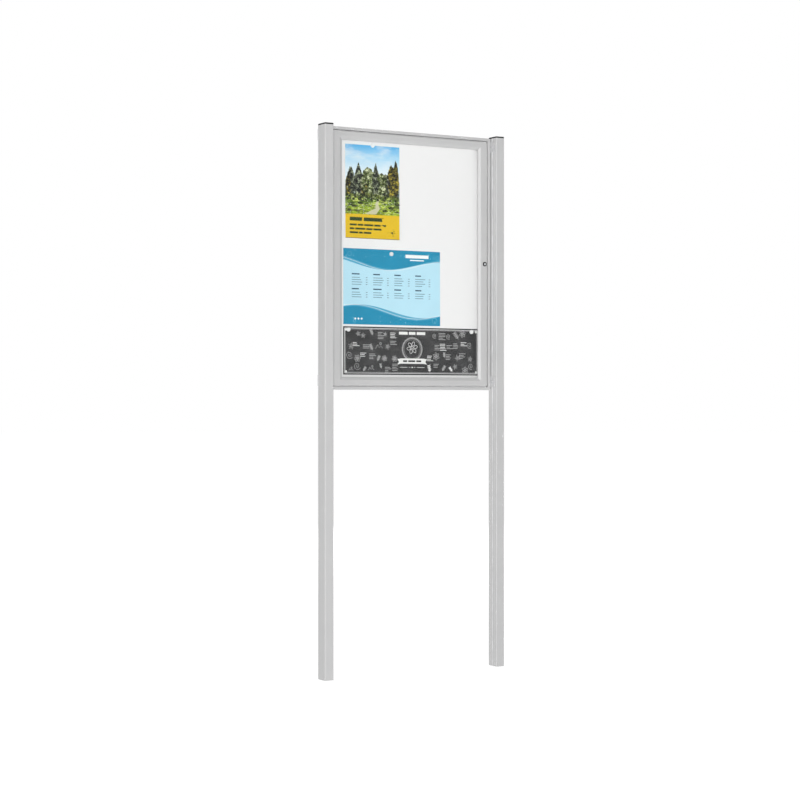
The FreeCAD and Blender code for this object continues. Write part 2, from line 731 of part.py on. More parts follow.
def all_parts():
    parts = {}
    for side, (centre, facing) in POSTS.items():
        parts["post_" + side] = post(centre, facing)
        parts["slot_cover_" + side] = slot_cover(centre, facing)
        parts["post_cap_" + side] = cap(centre, facing)
        parts["foot_plug_" + side] = hollow_plug(centre, facing, 0, PLUG_LENGTH)
        for name, middle in zip(("bottom", "top"), BRACKET_MIDDLES):
            parts["bracket_" + name + "_" + side] = bracket(centre, facing, middle)
    parts["slot_screws"] = at_each_bracket(slot_screw)
    parts["slot_nuts"] = at_each_bracket(slot_nut)
    parts["case_screws"] = at_each_bracket(case_screw)
    for side in ("bottom", "top", "left", "right"):
        parts["case_frame_" + side] = case_member(side)
        parts["door_frame_" + side] = door_member(side)
    parts["back_panel"] = sheet_in_case(PANEL_SETBACK, PANEL_THICKNESS)
    parts["rear_sheet"] = sheet_in_case(CASE_DEPTH - CASE_WALL - REAR_SHEET, REAR_SHEET)
    parts["door_gasket"] = gasket()
    parts["door_glass"] = glass()
    for name, bottom in hinge_bottoms().items():
        fixed_spans, moving_spans = knuckle_spans(bottom)
        parts["hinge_fixed_" + name] = hinge_half(bottom, fixed_spans, CASE_LEFT + LIP_WIDTH)
        parts["hinge_moving_" + name] = hinge_half(bottom, moving_spans, DOOR_LEFT)
    parts["hinge_pins"] = Part.makeCompound([hinge_pin(bottom) for bottom in hinge_bottoms().values()])
    parts["lock_barrel"] = lock_barrel()
    parts["lock_nut"] = lock_nut()
    parts["lock_plug"] = lock_plug()
    parts["lock_cam"] = lock_cam()
    parts.update(notices())
    return parts


def main():
    os.makedirs("parts", exist_ok=True)
    for name, shape in all_parts().items():
        shape.exportStep(os.path.join("parts", name + ".step"))
        box = shape.BoundBox
        print(
            f"{name}: {len(shape.Solids)} solid(s), valid {shape.isValid()}, volume {shape.Volume:.0f}, "
            f"x {box.XMin:.1f} to {box.XMax:.1f}, y {box.YMin:.1f} to {box.YMax:.1f}, "
            f"z {box.ZMin:.1f} to {box.ZMax:.1f}"
        )


main()
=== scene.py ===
import math
import random

import bmesh
import bpy
from mathutils import Matrix, Vector


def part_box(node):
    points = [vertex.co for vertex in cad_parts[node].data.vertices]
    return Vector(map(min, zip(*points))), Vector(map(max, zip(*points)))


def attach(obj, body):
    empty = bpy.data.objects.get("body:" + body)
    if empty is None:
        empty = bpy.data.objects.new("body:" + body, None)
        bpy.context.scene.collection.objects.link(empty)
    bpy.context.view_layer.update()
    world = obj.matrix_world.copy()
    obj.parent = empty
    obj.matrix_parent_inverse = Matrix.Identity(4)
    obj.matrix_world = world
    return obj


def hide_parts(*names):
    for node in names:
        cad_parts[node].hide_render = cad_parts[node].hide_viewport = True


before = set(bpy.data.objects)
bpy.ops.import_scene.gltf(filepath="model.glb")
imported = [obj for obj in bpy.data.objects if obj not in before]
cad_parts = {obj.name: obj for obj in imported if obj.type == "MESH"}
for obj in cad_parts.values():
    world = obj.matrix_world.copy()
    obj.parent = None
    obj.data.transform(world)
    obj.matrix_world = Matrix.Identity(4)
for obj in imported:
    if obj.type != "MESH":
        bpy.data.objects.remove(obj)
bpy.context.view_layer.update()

MM = 0.001
MICRON = 0.000001

# Colours


def tone(red, green, blue):
    """A colour given as 0 to 255 screen values, as the linear colour a shader takes."""
    linear = []
    for value in (red, green, blue):
        share = value / 255
        linear.append(share / 12.92 if share <= 0.04045 else ((share + 0.055) / 1.055) ** 2.4)
    return (*linear, 1.0)


def shade(colour, factor):
    return (*[min(1.0, channel * factor) for channel in colour[:3]], 1.0)


# Materials


class Nodes:
    """Short calls for building a node tree, which starts empty."""

    def __init__(self, tree, output):
        self.tree = tree
        self.tree.nodes.clear()
        self.output = self.add(output)

    def add(self, kind, **settings):
        node = self.tree.nodes.new(kind)
        for name, value in settings.items():
            setattr(node, name, value)
        return node

    def put(self, node, socket, value):
        """Links an output to the socket, or sets a plain value on it."""
        if isinstance(value, bpy.types.NodeSocket):
            self.tree.links.new(value, node.inputs[socket])
        else:
            node.inputs[socket].default_value = value

    def mix(self, share, first, second):
        """The first shader where share is 0, and the second where it is 1."""
        mixed = self.add("ShaderNodeMixShader")
        for socket, value in enumerate((share, first, second)):
            self.put(mixed, socket, value)
        return mixed.outputs[0]

    def surface(self, shader):
        self.put(self.output, "Surface", shader)


class Finish(Nodes):
    """A node material with short calls for the nodes that the finishes below share."""

    def __init__(self, name, metallic=0.0, roughness=0.5, coat=0.0, specular=0.5):
        self.material = bpy.data.materials.new(name)
        self.material.use_nodes = True
        super().__init__(self.material.node_tree, "ShaderNodeOutputMaterial")
        self.shader = self.add("ShaderNodeBsdfPrincipled")
        self.put(self.shader, "Metallic", metallic)
        self.put(self.shader, "Roughness", roughness)
        self.put(self.shader, "Coat Weight", coat)
        self.put(self.shader, "Specular IOR Level", specular)
        self.surface(self.shader.outputs["BSDF"])
        self.place = self.add("ShaderNodeTexCoord").outputs["Object"]
        self.relief = None

    def stretched(self, scale):
        mapping = self.add("ShaderNodeMapping")
        self.put(mapping, "Vector", self.place)
        self.put(mapping, "Scale", scale)
        return mapping.outputs["Vector"]

    def noise(self, scale, detail=2.0, rough=0.5, at=None):
        noise = self.add("ShaderNodeTexNoise")
        self.put(noise, "Vector", at or self.place)
        self.put(noise, "Scale", scale)
        self.put(noise, "Detail", detail)
        self.put(noise, "Roughness", rough)
        return noise.outputs["Fac"]

    def cells(self, scale, at=None, output="Distance"):
        cells = self.add("ShaderNodeTexVoronoi")
        self.put(cells, "Vector", at or self.place)
        self.put(cells, "Scale", scale)
        return cells.outputs[output]

    def ramp(self, value, *stops):
        ramp = self.add("ShaderNodeValToRGB")
        self.put(ramp, "Fac", value)
        elements = ramp.color_ramp.elements
        while len(elements) < len(stops):
            elements.new(0.5)
        for element, (position, colour) in zip(elements, stops):
            element.position = position
            element.color = colour
        return ramp.outputs["Color"]

    def tint(self, value, colour, *stops):
        """The colour, darker or lighter by the factor at each (position, factor) of the value."""
        return self.ramp(value, *[(position, shade(colour, factor)) for position, factor in stops])

    def remap(self, value, low, high, new_low, new_high):
        remap = self.add("ShaderNodeMapRange")
        self.put(remap, "Value", value)
        self.put(remap, "From Min", low)
        self.put(remap, "From Max", high)
        self.put(remap, "To Min", new_low)
        self.put(remap, "To Max", new_high)
        return remap.outputs["Result"]

    def blend(self, share, first, second, mode="MIX"):
        blend = self.add("ShaderNodeMix", data_type="RGBA", blend_type=mode)
        self.put(blend, 0, share)
        self.put(blend, 6, first)
        self.put(blend, 7, second)
        return blend.outputs[2]

    def clouded(self, base, clouds, dull):
        """The base colour, taken down towards the dull one where the clouds are low."""
        soft = self.ramp(clouds, (0.3, (*dull, 1)), (0.7, (1, 1, 1, 1)))
        return self.blend(1.0, base, soft, "MULTIPLY")

    def rise(self, low, high):
        """0 at the height low and 1 at the height high, both in metres."""
        split = self.add("ShaderNodeSeparateXYZ")
        self.put(split, 0, self.place)
        return self.remap(split.outputs["Z"], low, high, 0.0, 1.0)

    def bump(self, value, microns, strength):
        """Relief of that depth, on top of any relief given before."""
        bump = self.add("ShaderNodeBump")
        self.put(bump, "Height", value)
        self.put(bump, "Distance", microns * MICRON)
        self.put(bump, "Strength", strength)
        if self.relief is not None:
            self.put(bump, "Normal", self.relief)
        self.relief = bump.outputs["Normal"]
        self.put(self.shader, "Normal", self.relief)

    def colour(self, value):
        self.put(self.shader, "Base Color", value)

    def roughness(self, value):
        self.put(self.shader, "Roughness", value)


def profile_aluminium(name, colour, axis):
    """Satin anodised extrusion: fine die lines along it, a cloudy sheen and handling marks."""
    finish = Finish(name, metallic=0.12, specular=0.12)
    along = {"X": (5, 1300, 1300), "Z": (1300, 1300, 5)}[axis]
    wide = {"X": (2, 190, 190), "Z": (190, 190, 2)}[axis]
    lines = finish.noise(1.0, detail=3, rough=0.6, at=finish.stretched(along))
    bands = finish.noise(1.0, detail=1, at=finish.stretched(wide))
    clouds = finish.noise(7.0, detail=3, rough=0.55)
    marks = finish.noise(48.0, detail=4, rough=0.7)
    base = finish.tint(lines, colour, (0.28, 0.955), (0.72, 1.035))
    finish.colour(finish.clouded(base, clouds, (0.965, 0.965, 0.968)))
    finish.roughness(finish.remap(marks, 0.35, 0.75, 0.46, 0.56))
    finish.bump(bands, 40, 0.5)
    finish.bump(lines, 12, 0.5)
    return finish.material


def plate_aluminium(name, colour):
    """Cut and bent plate: a short grain along its height and a cloudy sheen."""
    finish = Finish(name, metallic=0.3, specular=0.3)
    grain = finish.noise(1.0, detail=4, rough=0.65, at=finish.stretched((420, 420, 60)))
    clouds = finish.noise(26.0, detail=3)
    base = finish.tint(grain, colour, (0.3, 0.93), (0.7, 1.05))
    finish.colour(finish.clouded(base, clouds, (0.95, 0.95, 0.955)))
    finish.roughness(finish.remap(clouds, 0.3, 0.7, 0.34, 0.46))
    finish.bump(grain, 30, 0.5)
    return finish.material


def sheet_aluminium(name, colour):
    """Mill finished sheet: long rolling streaks with faint crystals."""
    finish = Finish(name, metallic=0.6, specular=0.4)
    streaks = finish.noise(1.0, detail=4, rough=0.6, at=finish.stretched((330, 330, 7)))
    crystals = finish.cells(38.0, output="Color")
    base = finish.tint(streaks, colour, (0.25, 0.92), (0.75, 1.06))
    finish.colour(finish.blend(0.06, base, crystals, "SOFT_LIGHT"))
    finish.roughness(finish.remap(streaks, 0.3, 0.7, 0.36, 0.50))
    finish.bump(streaks, 30, 0.4)
    return finish.material


def moulded_plastic(name, colour, roughness, grain_microns, specular=0.5):
    """Moulded plastic with a spark eroded grain and slight fading."""
    finish = Finish(name, roughness=roughness, specular=specular)
    grain = finish.noise(1600.0, detail=3, rough=0.6)
    fade = finish.noise(24.0, detail=3)
    finish.colour(finish.tint(fade, colour, (0.3, 0.86), (0.72, 1.16)))
    finish.roughness(finish.remap(fade, 0.3, 0.7, roughness - 0.05, roughness + 0.06))
    finish.bump(grain, grain_microns, 0.6)
    return finish.material


def turned_metal(name, colour, roughness):
    """Small plated or turned metal parts: tight tool marks, duller in patches."""
    finish = Finish(name, metallic=1.0)
    marks = finish.noise(2200.0, detail=2)
    patches = finish.noise(160.0, detail=3)
    finish.colour(finish.tint(patches, colour, (0.3, 0.86), (0.7, 1.06)))
    finish.roughness(finish.remap(patches, 0.3, 0.7, roughness, roughness + 0.12))
    finish.bump(marks, 10, 0.5)
    return finish.material


def enamel(name, colour):
    """White enamelled steel: a faint ripple in the gloss and the rub marks of magnets."""
    finish = Finish(name, roughness=0.3, coat=0.15, specular=0.4)
    ripple = finish.noise(190.0, detail=2)
    rubbed = finish.noise(11.0, detail=5, rough=0.62)
    finish.colour(finish.tint(rubbed, colour, (0.30, 0.996), (0.55, 1.0), (0.8, 1.003)))
    finish.roughness(finish.remap(rubbed, 0.35, 0.7, 0.30, 0.34))
    finish.bump(ripple, 60, 0.35)
    return finish.material


def rubber(name, colour):
    """Matt extruded rubber with a dusty bloom."""
    finish = Finish(name, roughness=0.75, specular=0.3)
    dust = finish.noise(1.0, detail=4, at=finish.stretched((60, 60, 60)))
    fine = finish.noise(1500.0, detail=2)
    finish.colour(finish.tint(dust, colour, (0.35, 0.88), (0.75, 1.08)))
    finish.roughness(finish.remap(dust, 0.3, 0.7, 0.65, 0.85))
    finish.bump(fine, 20, 0.6)
    return finish.material


def seen_rays(nodes):
    """1 for what is seen straight on, in gloss or through glass, and 0 for light that bounces."""
    path = nodes.add("ShaderNodeLightPath")
    seen = path.outputs["Is Camera Ray"]
    for kind in ("Is Glossy Ray", "Is Transmission Ray"):
        either = nodes.add("ShaderNodeMath", operation="MAXIMUM")
        nodes.put(either, 0, seen)
        nodes.put(either, 1, path.outputs[kind])
        seen = either.outputs[0]
    return seen


GLASS_TINT = (0.982, 0.988, 0.985, 1)
GLASS_IOR = 1.36


def clear_glass(name):
    """Toughened pane: a faint green cast, light smears, and a gloss that grows at a slant.

    The gloss stays off the faces seen from inside the pane, because total reflection there would
    turn it black. Light that bounces passes the pane unchanged.
    """
    finish = Finish(name)
    finish.tree.nodes.remove(finish.shader)
    clear = finish.add("ShaderNodeBsdfTransparent")
    finish.put(clear, "Color", GLASS_TINT)
    gloss = finish.add("ShaderNodeBsdfGlossy")
    finish.put(gloss, "Color", (1, 1, 1, 1))
    smears = finish.noise(14.0, detail=4, rough=0.6)
    finish.put(gloss, "Roughness", finish.remap(smears, 0.4, 0.8, 0.01, 0.04))
    slant = finish.add("ShaderNodeFresnel")
    finish.put(slant, "IOR", GLASS_IOR)
    inside = finish.add("ShaderNodeNewGeometry").outputs["Backfacing"]
    share = finish.add("ShaderNodeMath", operation="MULTIPLY")
    finish.put(share, 0, slant.outputs[0])
    finish.put(share, 1, finish.remap(inside, 0.0, 1.0, 1.0, 0.0))
    pane = finish.mix(share.outputs[0], clear.outputs[0], gloss.outputs[0])
    unseen = finish.add("ShaderNodeBsdfTransparent")
    finish.surface(finish.mix(seen_rays(finish), unseen.outputs[0], pane))
    return finish.material


# Each plastic is given its colour, roughness, depth of grain in microns and gloss

PROFILE = tone(197, 197, 197)
VERTICAL = profile_aluminium("anodised_upright", PROFILE, "Z")
HORIZONTAL = profile_aluminium("anodised_level", PROFILE, "X")
PLATE = plate_aluminium("bracket_plate", tone(206, 206, 207))
SHEET = sheet_aluminium("rear_sheet_mill", tone(186, 187, 189))
HINGE = profile_aluminium("hinge_extrusion", tone(196, 196, 197), "Z")
CAP = moulded_plastic("cap_moulding", tone(16, 16, 17), 0.7, 30, 0.15)
STEEL = turned_metal("plated_steel", tone(186, 186, 188), 0.28)
BLACK = moulded_plastic("lock_ring_black", tone(9, 9, 10), 0.55, 10, 0.12)
# The slot covers are real strips, and their grey is paler than the posts as painted light in the
# gap between case and post.
STRIP = moulded_plastic("slot_strip_painted_light", tone(214, 214, 215), 0.5, 8, 0.3)
CHROME = turned_metal("lock_chrome", tone(205, 206, 208), 0.14)
PANEL = enamel("panel_enamel", tone(242, 241, 241))
RUBBER = rubber("gasket_rubber", tone(200, 200, 200))
# The door seal is a real part, and its pale grey is a painted highlight along the door's rounded
# outer edge.
SEAL = rubber("seal_rubber_painted_highlight", tone(206, 206, 207))
GLASS = clear_glass("pane_glass")
MAGNET = moulded_plastic("magnet_white", tone(240, 240, 240), 0.3, 6)

# The first entry that starts a node's name gives its material

FINISHES = {
    "post_left": VERTICAL,
    "post_right": VERTICAL,
    "slot_cover": STRIP,
    "post_cap": CAP,
    "foot_plug": CAP,
    "bracket": PLATE,
    "slot_": STEEL,
    "case_screws": STEEL,
    "case_frame_left": VERTICAL,
    "case_frame_right": VERTICAL,
    "case_frame": HORIZONTAL,
    "door_frame_left": VERTICAL,
    "door_frame_right": VERTICAL,
    "door_frame": HORIZONTAL,
    "back_panel": PANEL,
    "rear_sheet": SHEET,
    "door_gasket": RUBBER,
    "door_glass": GLASS,
    "hinge_pins": STEEL,
    "hinge": HINGE,
    "lock_barrel": BLACK,
    "lock_nut": STEEL,
    "lock_plug": CHROME,
    "lock_cam": STEEL,
    "magnet": MAGNET,
}

for node_name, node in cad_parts.items():
    for prefix, material in FINISHES.items():
        if node_name.startswith(prefix):
            for slot in node.material_slots:
                slot.material = material
            break

# Printed inks


def paper(name, colour, spread=0.02):
    """Coated paper or an even ink on it, with the sheet's fine tooth."""
    finish = Finish(name, roughness=0.5, specular=0.15)
    tooth = finish.noise(900.0, detail=3)
    cloud = finish.noise(18.0, detail=2)
    finish.colour(finish.tint(cloud, colour, (0.3, 1 - spread), (0.7, 1 + spread)))
    finish.roughness(finish.remap(tooth, 0.3, 0.7, 0.44, 0.56))
    finish.bump(tooth, 10, 0.4)
    return finish.material


def sky_ink(low, high):
    """A clear sky from z low to high, deep at the top, with thin broken cloud."""
    finish = Finish("ink_sky", roughness=0.5, specular=0.15)
    sky = finish.ramp(
        finish.rise(low, high),
        (0.0, tone(240, 246, 250)),
        (0.5, tone(226, 242, 250)),
        (0.78, tone(168, 218, 245)),
        (1.0, tone(84, 180, 234)),
    )
    cloud = finish.noise(9.0, detail=6, rough=0.6, at=finish.stretched((1.0, 1.0, 2.6)))
    veil = finish.remap(cloud, 0.48, 0.70, 0.0, 0.6)
    finish.colour(finish.blend(veil, sky, tone(246, 249, 251)))
    return finish.material


def leaf_ink(name, dark, middle, light, scale=70.0):
    """Printed foliage: clumps of shade with lit leaves."""
    finish = Finish(name, roughness=0.5, specular=0.15)
    clumps = finish.noise(scale, detail=5, rough=0.72)
    leaves = finish.cells(scale * 2.2)
    body = finish.ramp(clumps, (0.42, dark), (0.50, middle), (0.58, light))
    finish.colour(finish.blend(finish.remap(leaves, 0.3, 0.6, 0.0, 0.7), body, shade(dark, 0.7)))
    return finish.material


def meadow_ink(low, high):
    """Printed meadow: bands of green from z low to high, with bright tufts and pale flowers."""
    finish = Finish("ink_meadow", roughness=0.5, specular=0.15)
    ground = finish.ramp(
        finish.rise(low, high),
        (0.0, tone(156, 182, 34)),
        (0.4, tone(140, 168, 40)),
        (0.7, tone(96, 128, 34)),
        (1.0, tone(66, 94, 30)),
    )
    bands = finish.noise(46.0, detail=5, rough=0.7, at=finish.stretched((0.5, 1.0, 2.4)))
    ground = finish.blend(finish.remap(bands, 0.42, 0.54, 0.95, 0.0), ground, tone(28, 40, 12))
    bright = finish.noise(64.0, detail=4, rough=0.7, at=finish.stretched((0.5, 1.0, 1.8)))
    ground = finish.blend(finish.remap(bright, 0.52, 0.62, 0.0, 0.9), ground, tone(212, 226, 104))
    flowers = finish.cells(120.0, at=finish.stretched((1, 1, 1.5)))
    ground = finish.blend(finish.remap(flowers, 0.16, 0.26, 0.85, 0.0), ground, tone(244, 244, 232))
    finish.colour(ground)
    return finish.material


def slate_ink():
    """Printed slate: wiped chalk clouds on dark grey."""
    finish = Finish("ink_slate", roughness=0.55, specular=0.15)
    wiped = finish.noise(16.0, detail=6, rough=0.62, at=finish.stretched((0.7, 1.0, 1.6)))
    specks = finish.noise(420.0, detail=2)
    dark, middle, light = tone(40, 40, 41), tone(58, 58, 59), tone(84, 84, 85)
    body = finish.ramp(wiped, (0.3, dark), (0.55, middle), (0.78, light))
    dust = finish.remap(specks, 0.68, 0.76, 0.0, 0.35)
    finish.colour(finish.blend(dust, body, tone(150, 150, 150)))
    return finish.material


def chalk_ink(name, colour, cover):
    """Chalk strokes that the slate shows through, more of it as cover grows."""
    finish = Finish(name, roughness=0.6, specular=0.3)
    broken = finish.noise(520.0, detail=3, rough=0.7)
    finish.colour(finish.ramp(broken, (cover - 0.12, tone(84, 84, 85)), (cover + 0.06, colour)))
    return finish.material


# Printed sheets

INK_STEP = 0.02 * MM
BACK_STEP = 0.05 * MM
STAND_OFF = 0.10


def polar(reach, angle):
    return (reach * math.cos(angle), reach * math.sin(angle))


def ring(centre, middle, radius, count):
    """The corners of a circle, anticlockwise from its right."""
    spokes = [polar(radius, 2 * math.pi * step / count) for step in range(count)]
    return [(centre + across, middle + up) for across, up in spokes]


class Print:
    """A printed sheet in the place of a notice node.

    Points are in millimetres from its lower left corner, and each ink lies on the layer below it.
    """

    def __init__(self, name, node):
        low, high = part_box(node)
        self.name = name
        self.node = node
        self.left = low[0]
        self.bottom = low[2]
        self.front = low[1]
        self.back = high[1]
        self.wide = (high[0] - low[0]) / MM
        self.tall = (high[2] - low[2]) / MM
        self.mesh = bmesh.new()
        self.inks = []

    def index(self, ink):
        if ink not in self.inks:
            self.inks.append(ink)
        return self.inks.index(ink)

    def at(self, across, up, layer):
        depth = self.front - layer * INK_STEP
        return Vector((self.left + across * MM, depth, self.bottom + up * MM))

    def shape(self, points, ink, layer):
        """A filled outline, its points anticlockwise as seen from the front."""
        corners = [self.mesh.verts.new(self.at(across, up, layer)) for across, up in points]
        face = self.mesh.faces.new(corners)
        face.material_index = self.index(ink)

    def bar(self, across, up, wide, tall, ink, layer, lean=0.0):
        right, high = across + wide, up + tall
        corners = [(across, up), (right, up), (right + lean, high), (across + lean, high)]
        self.shape(corners, ink, layer)

    def disc(self, across, up, radius, ink, layer, count=20):
        self.shape(ring(across, up, radius, count), ink, layer)

    def stroke(self, points, wide, ink, layer, closed=False):
        """A drawn line of even width through the points."""
        count = len(points)
        pairs = []
        for step, (across, up) in enumerate(points):
            before = points[step - 1] if closed or step else points[0]
            after = points[(step + 1) % count] if closed or step + 1 < count else points[-1]
            run = Vector((after[0] - before[0], after[1] - before[1]))
            if run.length == 0:
                run = Vector((1, 0))
            side = Vector((-run.y, run.x)).normalized() * wide / 2
            low = self.mesh.verts.new(self.at(across - side.x, up - side.y, layer))
            high = self.mesh.verts.new(self.at(across + side.x, up + side.y, layer))
            pairs.append((low, high))
        spans = list(zip(pairs, pairs[1:]))
        if closed:
            spans.append((pairs[-1], pairs[0]))
        for (low_a, high_a), (low_b, high_b) in spans:
            face = self.mesh.faces.new((low_a, low_b, high_b, high_a))
            face.material_index = self.index(ink)

    def base(self, ink, back_ink):
        """The sheet itself, with its thickness."""
        corners = [(0, 0), (self.wide, 0), (self.wide, self.tall), (0, self.tall)]
        self.shape(corners, ink, 0)
        corners = [corners[0], *reversed(corners[1:])]
        depth = self.back - BACK_STEP
        rear = [Vector((self.left + a * MM, depth, self.bottom + u * MM)) for a, u in corners]
        ahead = [self.at(a, u, 0) for a, u in corners]
        outlines = [rear]
        for step in range(4):
            after = (step + 1) % 4
            outlines.append([ahead[step], ahead[after], rear[after], rear[step]])
        for outline in outlines:
            face = self.mesh.faces.new([self.mesh.verts.new(corner) for corner in outline])
            face.material_index = self.index(back_ink)

    def finish(self, lift, columns, rows):
        """Cuts the inks into cells, bends the sheet and makes the object.

        lift gives the way forward in millimetres, from shares of the width and the height.
        """
        cuts = ((columns, self.wide, self.left, 0), (rows, self.tall, self.bottom, 2))
        for count, span, start, axis in cuts:
            for step in range(1, count):
                place = Vector((0, 0, 0))
                place[axis] = start + span * MM * step / count
                normal = Vector((0, 0, 0))
                normal[axis] = 1
                bmesh.ops.bisect_plane(
                    self.mesh,
                    geom=self.mesh.verts[:] + self.mesh.edges[:] + self.mesh.faces[:],
                    dist=1e-7,
                    plane_co=place,
                    plane_no=normal,
                )
        bmesh.ops.triangulate(self.mesh, faces=self.mesh.faces[:], ngon_method="EAR_CLIP")
        for vert in self.mesh.verts:
            across = (vert.co.x - self.left) / MM
            up = (vert.co.z - self.bottom) / MM
            vert.co.y -= (STAND_OFF + lift(across / self.wide, up / self.tall)) * MM
        data = bpy.data.meshes.new(self.name)
        self.mesh.to_mesh(data)
        self.mesh.free()
        for ink in self.inks:
            data.materials.append(ink)
        sheet = bpy.data.objects.new(self.name, data)
        bpy.context.scene.collection.objects.link(sheet)
        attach(sheet, "stand")
        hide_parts(self.node)


def crown(chance, centre, base, wide, tall, point, ragged):
    """A tree's outline: round when point is 0, drawn up to a tip when it is 1."""
    count = 56
    taper = 0.85
    ragged_height = 0.4
    points = []
    for step in range(count):
        turn = 2 * math.pi * step / count
        reach = 1 + ragged * (chance.random() - 0.5)
        up = (1 - math.cos(turn)) / 2
        across = math.sin(turn) * wide / 2 * (1 - point * up**2 * taper)
        high = up * tall * (1 + (reach - 1) * ragged_height)
        points.append((centre + across * reach, base + high))
    return points


def ridge(chance, start, wide, base, left_up, right_up, swell, rough):
    """A hill's outline across the picture from base up to a wavy top."""
    count = 48
    waves = 6.0
    top = []
    for step in range(count + 1):
        share = step / count
        up = left_up + (right_up - left_up) * share
        up += swell * math.sin(share * waves + left_up) + rough * (chance.random() - 0.5)
        top.append((start + wide * share, up))
    return [(start, base), (start + wide, base), *reversed(top)]


def portrait():
    """A garden view over an amber band, with greeked lines of text."""
    sheet = Print("notice_portrait_print", "notice_portrait")
    chance = random.Random(11)
    white = paper("paper_portrait", tone(238, 238, 236))
    amber = paper("ink_amber", tone(229, 190, 30), 0.03)
    dark = paper("ink_bottle_green", tone(38, 60, 20))
    far = leaf_ink("ink_far_wood", tone(60, 78, 76), tone(112, 130, 122), tone(180, 192, 182), 60)
    deep = leaf_ink("ink_dark_trees", tone(10, 13, 10), tone(58, 68, 50), tone(186, 196, 160))
    pale = leaf_ink("ink_pale_trees", tone(26, 36, 10), tone(122, 142, 62), tone(240, 246, 200))
    rust = leaf_ink("ink_rust_trees", tone(18, 16, 4), tone(88, 86, 16), tone(196, 176, 60))
    hedge = leaf_ink("ink_hedge", tone(12, 18, 6), tone(58, 72, 24), tone(150, 164, 70), 90)
    edge = 4
    band_top, horizon, meadow_top = 104, 176, 184
    left, wide, top = edge, sheet.wide - 2 * edge, sheet.tall - edge
    sky = sky_ink(sheet.bottom + horizon * MM, sheet.bottom + top * MM)
    meadow = meadow_ink(sheet.bottom + band_top * MM, sheet.bottom + meadow_top * MM)
    trunk = paper("ink_trunks", tone(58, 50, 40))
    sheet.base(white, white)
    sheet.bar(left, horizon, wide, top - horizon, sky, 1)
    sheet.shape(ridge(chance, left, wide, horizon - 2, 226, 246, 7, 4), far, 2)
    for centre, width, tall, ink, point in (  # trees
        (30, 46, 118, deep, 0.55),
        (176, 74, 96, pale, 0.1),
        (66, 54, 134, deep, 0.9),
        (222, 46, 132, rust, 0.35),
        (112, 78, 116, pale, 0.25),
        (148, 44, 138, deep, 0.95),
        (196, 58, 92, deep, 0.1),
        (244, 34, 152, rust, 0.6),
        (92, 40, 74, rust, 0.0),
        (20, 30, 88, rust, 0.1),
    ):
        sheet.shape(crown(chance, centre, 180, width, tall, point, 0.16), ink, 3)
    for centre in (30, 66, 112, 148, 176, 196, 222, 244):
        sheet.bar(centre - 1.5, 172, 3, 18, trunk, 4)
    sheet.bar(left, band_top, wide, 78, meadow, 4)
    sheet.shape(ridge(chance, left, wide, horizon, 188, 184, 3, 5), hedge, 5)
    path = [
        (96, 106),
        (150, 106),
        (168, 130),
        (158, 150),
        (170, 174),
        (163, 174),
        (146, 151),
        (148, 132),
    ]
    sheet.shape(path, paper("ink_gravel", tone(206, 204, 168)), 5)
    for step in range(26):
        up = 160 + 9 * (step % 3)
        size = 12 + 7 * chance.random()
        bush = crown(chance, left + 10 + 9.6 * step, up, size, size * 0.8, 0.0, 0.4)
        sheet.shape(bush, pale if step % 4 == 1 else hedge, 6)
    for step in range(9):
        centre = left + 14 + 29 * step
        if not 90 < centre < 185:
            tuft = crown(chance, centre, 116 + 14 * (step % 3), 27, 11, 0.0, 0.5)
            sheet.shape(tuft, hedge, 6)
    sheet.bar(left, edge, wide, band_top - edge, amber, 5)
    # A dark umber line along the bottom of the amber band: a painted shadow of the sheet's lifted
    # bottom edge.
    sheet.bar(left, edge, wide, 2.2, paper("ink_painted_edge_shadow", tone(112, 92, 44)), 6)
    for up, tall, widths in (  # greeked lines, a bar for each word
        (76, 15, (58, 96)),
        (56, 7.5, (34, 26, 44, 30, 22)),
        (40, 7.5, (22, 48, 30, 46)),
        (24, 7.5, (40, 18, 36)),
    ):
        across = 24
        for word in widths:
            sheet.bar(across, up, word, tall, dark, 6, lean=tall * 0.1)
            across += word + tall * 0.55
    sun_across, sun_up = 222, 32
    for step in range(12):
        ray = [polar(reach, 2 * math.pi * step / 12) for reach in (12, 18)]
        sheet.stroke([(sun_across + x, sun_up + y) for x, y in ray], 2.4, dark, 6)
    sheet.disc(sun_across, sun_up, 8.5, dark, 6)

    def lift(across, up):
        return 1.9 * (1 - up) ** 3 * (0.35 + (2 * across - 1) ** 2)

    sheet.finish(lift, 8, 12)


def wave(wide, low, swell, phase):
    """A wavy line across a sheet, which falls a little to the right."""
    count = 60
    waves = 5.2
    fall = 10
    shares = [step / count for step in range(count + 1)]
    return [(wide * s, low + swell * math.sin(phase + s * waves) - fall * s) for s in shares]


def sweep(wide, low, swell, phase, base):
    """A band between a straight edge at base and a wave around low."""
    line = wave(wide, low, swell, phase)
    if base < low:
        return [(0, base), (wide, base), *reversed(line)]
    return [*line, (wide, base), (0, base)]


